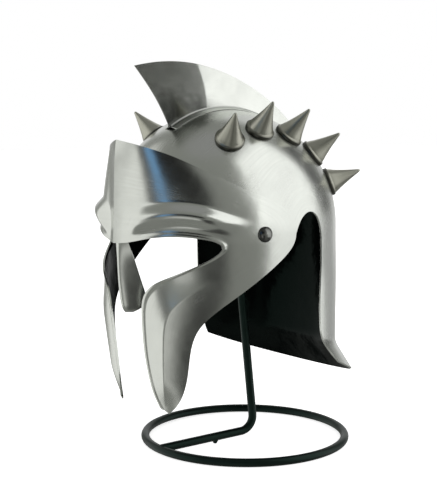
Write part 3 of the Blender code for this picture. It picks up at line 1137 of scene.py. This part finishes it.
def wire(points, radius, closed=False):
    """A bmesh of a round rod along points, with ends that are closed."""
    curve = bpy.data.curves.new("wire", "CURVE")
    curve.dimensions = "3D"
    curve.twist_mode = "Z_UP" if closed else "MINIMUM"
    curve.bevel_depth = radius
    curve.bevel_resolution = WIRE_SIDES // 2 - 2
    curve.use_fill_caps = not closed
    spline = curve.splines.new("POLY")
    spline.points.add(len(points) - 1)
    for place, point in zip(spline.points, points):
        place.co = (*point, 1)
    spline.use_cyclic_u = closed
    guide = new_object("wire", curve)
    graph = bpy.context.evaluated_depsgraph_get()
    mesh = bpy.data.meshes.new_from_object(guide.evaluated_get(graph))
    bpy.data.objects.remove(guide)
    bm = bmesh.new()
    bm.from_mesh(mesh)
    close_up(bm)
    return bm


def oval(centre, half_width, half_length, steps):
    turns = [math.tau * step / steps for step in range(steps)]
    return [centre + Vector((half_width * math.sin(t), -half_length * math.cos(t), 0)) for t in turns]


def elbow(start, corner, end, radius, steps):
    """The points of a round bend that replaces a corner."""
    back = (start - corner).normalized()
    ahead = (end - corner).normalized()
    half = back.angle(ahead) / 2
    centre = corner + (back + ahead).normalized() * radius / math.sin(half)
    reach = radius / math.tan(half)
    first = (corner + back * reach - centre).normalized()
    last = (corner + ahead * reach - centre).normalized()
    return [centre + radius * first.slerp(last, step / steps) for step in range(steps + 1)]


class HELMET_OT_make_bowl(bpy.types.Operator):
    """Make the bowl and its flared neck guard from one sheet"""

    bl_idname = "helmet.make_bowl"
    bl_label = "Bowl and neck guard"

    def execute(self, context):
        bowl = context.scene.helmet_bowl
        add_sheet(
            "bowl",
            "polished_sheet",
            "skull",
            BOWL_GRID,
            lambda u, v: skull_point(bowl, u, v),
            bowl.sheet,
            SHEET_EDGE,
        )
        return {"FINISHED"}


class HELMET_OT_make_face_guard(bpy.types.Operator):
    """Make the face guard, with its brow, eye openings and cheek guards"""

    bl_idname = "helmet.make_face_guard"
    bl_label = "Face guard"

    def execute(self, context):
        bowl = context.scene.helmet_bowl
        face = context.scene.helmet_face
        add_sheet(
            "face_plate",
            "face_steel",
            "face_guard",
            FACE_GRID,
            lambda u, v: face_point(bowl, face, u, v),
            bowl.sheet,
            SHEET_EDGE,
        )
        return {"FINISHED"}


class HELMET_OT_make_nasal(bpy.types.Operator):
    """Make the ridged strip that guards the nose"""

    bl_idname = "helmet.make_nasal"
    bl_label = "Nasal"

    def execute(self, context):
        bowl = context.scene.helmet_bowl
        add_sheet(
            "nose_strip",
            "face_steel",
            "nasal",
            NASAL_GRID,
            lambda u, v: nasal_point(bowl, u, v),
            context.scene.helmet_face.nasal_sheet,
            NASAL_EDGE,
        )
        return {"FINISHED"}


class HELMET_OT_make_crest(bpy.types.Operator):
    """Make the crest fin and the strip that it stands on"""

    bl_idname = "helmet.make_crest"
    bl_label = "Crest fin"

    def execute(self, context):
        bowl = context.scene.helmet_bowl
        crest = context.scene.helmet_crest
        gap = context.scene.helmet_studs.seat_gap
        foot_top = gap + crest.foot_thickness

        def web_point(u, v):
            place = u * CREST_CURVE.last
            foot_angle, top_y, top_height = CREST_CURVE.at(place)
            foot = bowl_point(bowl, math.radians(foot_angle), 0, foot_top)
            top = Vector((0, bowl.centre_y + top_y * MM, top_height * MM + TOP_EDGE))
            front = max(0.0, 1 - place / CREST_BOW_ROWS) ** 2
            bow = crest.front_bow * front * math.sin(math.pi * v)
            return foot.lerp(top, v) + Vector((0, bow, 0))

        def foot_point(u, v):
            angle = math.radians(CREST_CURVE.at(u * CREST_CURVE.last)[0])
            x = (2 * v - 1) * crest.foot_half_width
            beyond = (abs(x) - crest.web / 2) / crest.fillet
            weld = crest.fillet * (1 - math.sqrt(1 - min(max(1 - beyond, 0), 1) ** 2))
            flat = smooth((1 - abs(x) / crest.foot_half_width) / FOOT_BEVEL)
            return bowl_point(bowl, angle, x, mix(gap + FOOT_EDGE, foot_top, flat) + weld)

        bm = shaped_grid(WEB_GRID, web_point)
        bmesh.ops.solidify(bm, geom=bm.faces, thickness=crest.web)
        for vert in bm.verts:
            vert.co.x = math.copysign(web_half_width(crest, bowl, vert.co), vert.co.x)
        bmesh.ops.recalc_face_normals(bm, faces=bm.faces)
        web = add_piece("fin_web", bm, ("brushed_fin",), "crest_fin")
        round_edges(web, WEB_EDGE)
        bm = shaped_grid(FOOT_GRID, foot_point, bowl_centre(bowl))
        uv = bm.loops.layers.uv.active
        for loop in (loop for face in bm.faces for loop in face.loops):
            loop[uv].uv.y = abs(2 * loop[uv].uv.y - 1)
        foot = add_piece("fin_foot", bm, ("welded_foot",), "crest_fin")
        add_modifier(foot, "wall", "SOLIDIFY", thickness=FOOT_EDGE, offset=-1)
        return {"FINISHED"}


class HELMET_OT_make_studs(bpy.types.Operator):
    """Make the two rows of turned studs, each with its base dished to the bowl"""

    bl_idname = "helmet.make_studs"
    bl_label = "Studs"

    def execute(self, context):
        bowl = context.scene.helmet_bowl
        studs = context.scene.helmet_studs
        sizes = (bowl.half_width, bowl.half_length, bowl.rise)
        for side, word in ((1, "left"), (-1, "right")):
            x = side * bowl.half_width * math.sin(studs.side_angle)
            for number, angle in enumerate(STUD_ANGLES, 1):
                foot = bowl_point(bowl, math.radians(angle), x, 0)
                out = foot - bowl_centre(bowl)
                axis = Vector(value / size**2 for value, size in zip(out, sizes)).normalized()
                place = facing(foot, axis)
                bm = turned(STUD_PROFILE, studs.base_radius, studs.height, STUD_SIDES, place)
                for vert in bm.verts:
                    if (vert.co - foot).dot(axis) < STUD_FOOT:
                        vert.co += axis * drop_to_bowl(bowl, vert.co, axis, studs.seat_gap)
                add_piece(
                    f"cone_{word}_{number}",
                    bm,
                    ("stud_metal",),
                    f"stud_{word}_{number}",
                )
        return {"FINISHED"}


class HELMET_OT_make_rivets(bpy.types.Operator):
    """Make the domed rivet at each temple"""

    bl_idname = "helmet.make_rivets"
    bl_label = "Temple rivets"

    def execute(self, context):
        bowl = context.scene.helmet_bowl
        face = context.scene.helmet_face
        radius = context.scene.helmet_studs.rivet_radius
        for side, word in ((1, "left"), (-1, "right")):
            angle = side * RIVET_ANGLE
            seat = guard_point(bowl, face, angle, RIVET_HEIGHT)
            place = facing(seat, guard_normal(bowl, angle))
            bm = turned(RIVET_PROFILE, radius, MM, RIVET_SIDES, place)
            add_piece(f"dome_{word}", bm, ("rivet_metal",), f"rivet_{word}")
        return {"FINISHED"}


class HELMET_OT_make_stand(bpy.types.Operator):
    """Make the wire stand: ring, bent rod with its stub, hoop and cross rod"""

    bl_idname = "helmet.make_stand"
    bl_label = "Wire stand"

    def execute(self, context):
        bowl = context.scene.helmet_bowl
        stand = context.scene.helmet_stand
        radius = stand.wire_radius
        middle = Vector((0, bowl.centre_y, 0))
        ring_centre = middle + Vector((0, stand.ring_y, radius))
        start = Vector(
            (
                -stand.ring_radius * math.sin(ARM_START_ANGLE),
                stand.ring_y - stand.ring_radius * math.cos(ARM_START_ANGLE),
                ARM_START_HEIGHT,
            )
        )
        bend = elbow(start, ELBOW, POST_TOP, ELBOW_RADIUS, ELBOW_STEPS)
        rod = [point + middle for point in (start, *bend, POST_TOP)]
        stub_place = Matrix.Translation(start.lerp(ELBOW, STUB_PLACE) + middle)
        half_width = bowl.half_width * stand.hoop_share
        half_length = bowl.half_length * stand.hoop_share
        hoop_centre = middle + Vector((0, 0, POST_TOP.z))
        reach = half_width * math.sqrt(1 - (POST_TOP.y / half_length) ** 2)
        ends = [POST_TOP + middle + Vector((end * reach, 0, 0)) for end in (-1, 1)]
        ring = oval(ring_centre, stand.ring_radius, stand.ring_radius, RING_STEPS)
        hoop = oval(hoop_centre, half_width, half_length, HOOP_STEPS)
        for name, bm in (
            ("ring_wire", wire(ring, radius, closed=True)),
            ("arm_and_post", wire(rod, radius)),
            ("hoop_wire", wire(hoop, radius, closed=True)),
            ("cross_wire", wire(ends, radius)),
            ("arm_stub", turned(STUB_PROFILE, MM, MM, WIRE_SIDES, stub_place)),
        ):
            add_piece(name, bm, ("stand_paint",), "display_stand")
        return {"FINISHED"}


class HELMET_OT_make_stage(bpy.types.Operator):
    """Make the table top, the room and walls that the steel reflects, and the camera"""

    bl_idname = "helmet.make_stage"
    bl_label = "Stage"

    def execute(self, context):
        stage = context.scene.helmet_stage
        self.make_floor(stage)
        self.make_room(context.scene, stage)
        self.make_walls(stage)
        self.make_camera(context.scene, stage)
        context.scene.view_settings.view_transform = "Standard"
        return {"FINISHED"}

    def make_floor(self, stage):
        bm = bmesh.new()
        bmesh.ops.create_grid(bm, x_segments=8, y_segments=8, size=FLOOR_HALF_WIDTH)
        floor = new_object("table_top", new_mesh("table_top", bm))
        tree = new_material("table_white")
        shader = add_node(
            tree,
            "ShaderNodeBsdfPrincipled",
            {
                "Base Color": (*stage.floor, 1),
                "Roughness": 0.6,
                "Specular IOR Level": 0.2,
                "Emission Color": (1, 1, 1, 1),
                "Emission Strength": 0.8,
            },
        )
        add_node(tree, "ShaderNodeOutputMaterial", {"Surface": shader.outputs[0]})
        floor.data.materials.append(bpy.data.materials["table_white"])
        # the steel reflects the room's own dim lower half instead
        floor.visible_glossy = False

    def make_room(self, scene, stage):
        """Soft patches of light and dark, all round, at angles from the camera's side."""
        world = bpy.data.worlds.new("room")
        scene.world = world
        world.use_nodes = True
        tree = world.node_tree
        tree.nodes.clear()
        direction = add_node(tree, "ShaderNodeTexCoord").outputs["Generated"]
        height = add_node(tree, "ShaderNodeSeparateXYZ", {0: direction}).outputs["Z"]
        around = add_node(
            tree,
            "ShaderNodeVectorRotate",
            {"Vector": direction, "Angle": math.pi / 2 - stage.azimuth},
            rotation_type="Z_AXIS",
        ).outputs["Vector"]
        flat = add_node(tree, "ShaderNodeSeparateXYZ", {0: around}).outputs
        azimuth = maths(tree, "ARCTAN2", flat["Y"], flat["X"])
        elevation = maths(tree, "ARCSINE", height)

        def step(value, start, end):
            """0 at the start and 1 at the end, both in degrees."""
            low, high = math.radians(min(start, end)), math.radians(max(start, end))
            falling = start > end
            return remap(
                tree, value, low, high, falling, not falling, interpolation_type="SMOOTHSTEP"
            )

        room = stage.room
        colour = add_node(tree, "ShaderNodeRGB").outputs[0]
        colour.default_value = (0.98 * room, room, 0.94 * room, 1)
        side = stage.side_wall
        # azimuth from and to with its soft edge, elevation from and to with its own, and the colour
        patches = (
            (-180, 180, 1, -90, -14, 16, (0.3, 0.306, 0.288)),
            (-24, -6, 8, -44, -10, 8, (0.8, 0.8, 0.78)),
            (0, 25, 8, -70, -8, 8, (0.06, 0.06, 0.058)),
            (-180, 180, 1, 72, 90, 10, (0.37, 0.37, 0.37)),
            (-138, -53, 8, -40, 44, 14, (side, side, 0.98 * side)),
            (-50, -37, 6, -8, 38, 10, (0.14, 0.14, 0.135)),
            (-27, 16, 7, 9, 42, 8, (0.015, 0.015, 0.015)),
            (-38, -26, 4, 3, 33, 6, stage.window),
            (56, 119, 6, -40, 66, 8, (0.11, 0.113, 0.105)),
            (119, 138, 10, 0, 40, 10, (0.08, 0.08, 0.08)),
            (112, 150, 10, -36, -1, 6, (0.5, 0.5, 0.5)),
            (148, 180, 12, -10, 50, 14, (0.9, 0.9, 0.9)),
            (-180, -158, 12, -10, 50, 14, (0.9, 0.9, 0.9)),
        )
        for start, end, edge, low, high, fade, light in patches:
            share = None
            for value, first, last in (
                (azimuth, start - edge / 2, start + edge / 2),
                (azimuth, end + edge / 2, end - edge / 2),
                (elevation, low - fade / 2, low + fade / 2),
                (elevation, high + fade / 2, high - fade / 2),
            ):
                if abs(first) > 179 or (value is elevation and abs(first) > 89):
                    continue
                part = step(value, first, last)
                share = part if share is None else maths(tree, "MULTIPLY", share, part)
            colour = mixed(tree, share, colour, (*light, 1))
        seen = add_node(tree, "ShaderNodeLightPath").outputs["Is Camera Ray"]
        shown = mixed(tree, seen, colour, (1, 1, 1, 1))
        background = add_node(tree, "ShaderNodeBackground", {"Color": shown})
        add_node(tree, "ShaderNodeOutputWorld", {"Surface": background.outputs[0]})

    def make_walls(self, stage):
        """Far lit walls: two that light all but the fin's web, and one for the web alone."""
        fin = bpy.data.collections.new("fin_light")
        rest = bpy.data.collections.new("wall_light")
        for lit, state in ((fin, "INCLUDE"), (rest, "EXCLUDE")):
            lit.objects.link(bpy.data.objects["fin_web"])
            lit.collection_objects[0].light_linking.link_state = state
        for name, (seen_by, start, end, low, high, share) in WALLS.items():
            data = bpy.data.lights.new(name, "AREA")
            data.shape = "RECTANGLE"
            data.size = 2 * WALL_DISTANCE * math.tan(math.radians(end - start) / 2)
            bottom = WALL_DISTANCE * math.tan(math.radians(low))
            top = WALL_DISTANCE * math.tan(math.radians(high))
            data.size_y = top - bottom
            data.energy = math.pi * data.size * data.size_y * stage.wall * share
            lamp = new_object(name, data)
            turn = stage.azimuth + math.radians((start + end) / 2)
            out = Vector((math.sin(turn), -math.cos(turn), 0))
            lamp.location = out * WALL_DISTANCE + Vector((0, 0, HELMET_MIDDLE + (bottom + top) / 2))
            lamp.rotation_euler = out.to_track_quat("Z", "Y").to_euler()
            lamp.light_linking.receiver_collection = fin if seen_by == "fin" else rest

    def make_camera(self, scene, stage):
        data = bpy.data.cameras.new("camera")
        data.sensor_width = SENSOR
        data.lens = stage.lens
        camera = new_object("camera", data)
        away = Vector((-math.sin(stage.azimuth), math.cos(stage.azimuth), 0))
        right = Vector((math.cos(stage.azimuth), math.sin(stage.azimuth), 0))
        ring = Vector((0, scene.helmet_stand.ring_y + scene.helmet_bowl.centre_y, 0))
        camera.location = ring - away * stage.distance - right * stage.sideways
        camera.location.z = stage.height
        look = away * math.cos(stage.pitch) - Vector((0, 0, math.sin(stage.pitch)))
        camera.rotation_euler = look.to_track_quat("-Z", "Y").to_euler()
        scene.camera = camera


class HELMET_PT_pieces(bpy.types.Panel):
    """Lists the helmet's pieces, sizes and colours"""

    bl_idname = "HELMET_PT_pieces"
    bl_label = "Gladiator helmet"
    bl_space_type = "VIEW_3D"
    bl_region_type = "UI"
    bl_category = "Helmet"

    def draw(self, context):
        for operator in OPERATORS:
            self.layout.operator(operator.bl_idname)
        for name in SETTINGS:
            box = self.layout.box()
            settings = getattr(context.scene, name)
            for key in settings.__annotations__:
                box.prop(settings, key)


OPERATORS = (
    HELMET_OT_make_bowl,
    HELMET_OT_make_face_guard,
    HELMET_OT_make_nasal,
    HELMET_OT_make_crest,
    HELMET_OT_make_studs,
    HELMET_OT_make_rivets,
    HELMET_OT_make_stand,
    HELMET_OT_make_stage,
)
SETTINGS = {
    "helmet_bowl": HelmetBowl,
    "helmet_face": HelmetFace,
    "helmet_crest": HelmetCrest,
    "helmet_studs": HelmetStuds,
    "helmet_stand": HelmetStand,
    "helmet_colours": HelmetColours,
    "helmet_stage": HelmetStage,
}


def register():
    for each in (*SETTINGS.values(), *OPERATORS, HELMET_PT_pieces):
        bpy.utils.register_class(each)
    for name, settings in SETTINGS.items():
        setattr(bpy.types.Scene, name, PointerProperty(type=settings))


def unregister():
    for name in SETTINGS:
        delattr(bpy.types.Scene, name)
    for each in (HELMET_PT_pieces, *OPERATORS, *SETTINGS.values()):
        bpy.utils.unregister_class(each)


def main():
    register()
    for operator in OPERATORS:
        name = operator.bl_idname.split(".")[1]
        getattr(bpy.ops.helmet, name)()


if __name__ == "__main__":
    main()
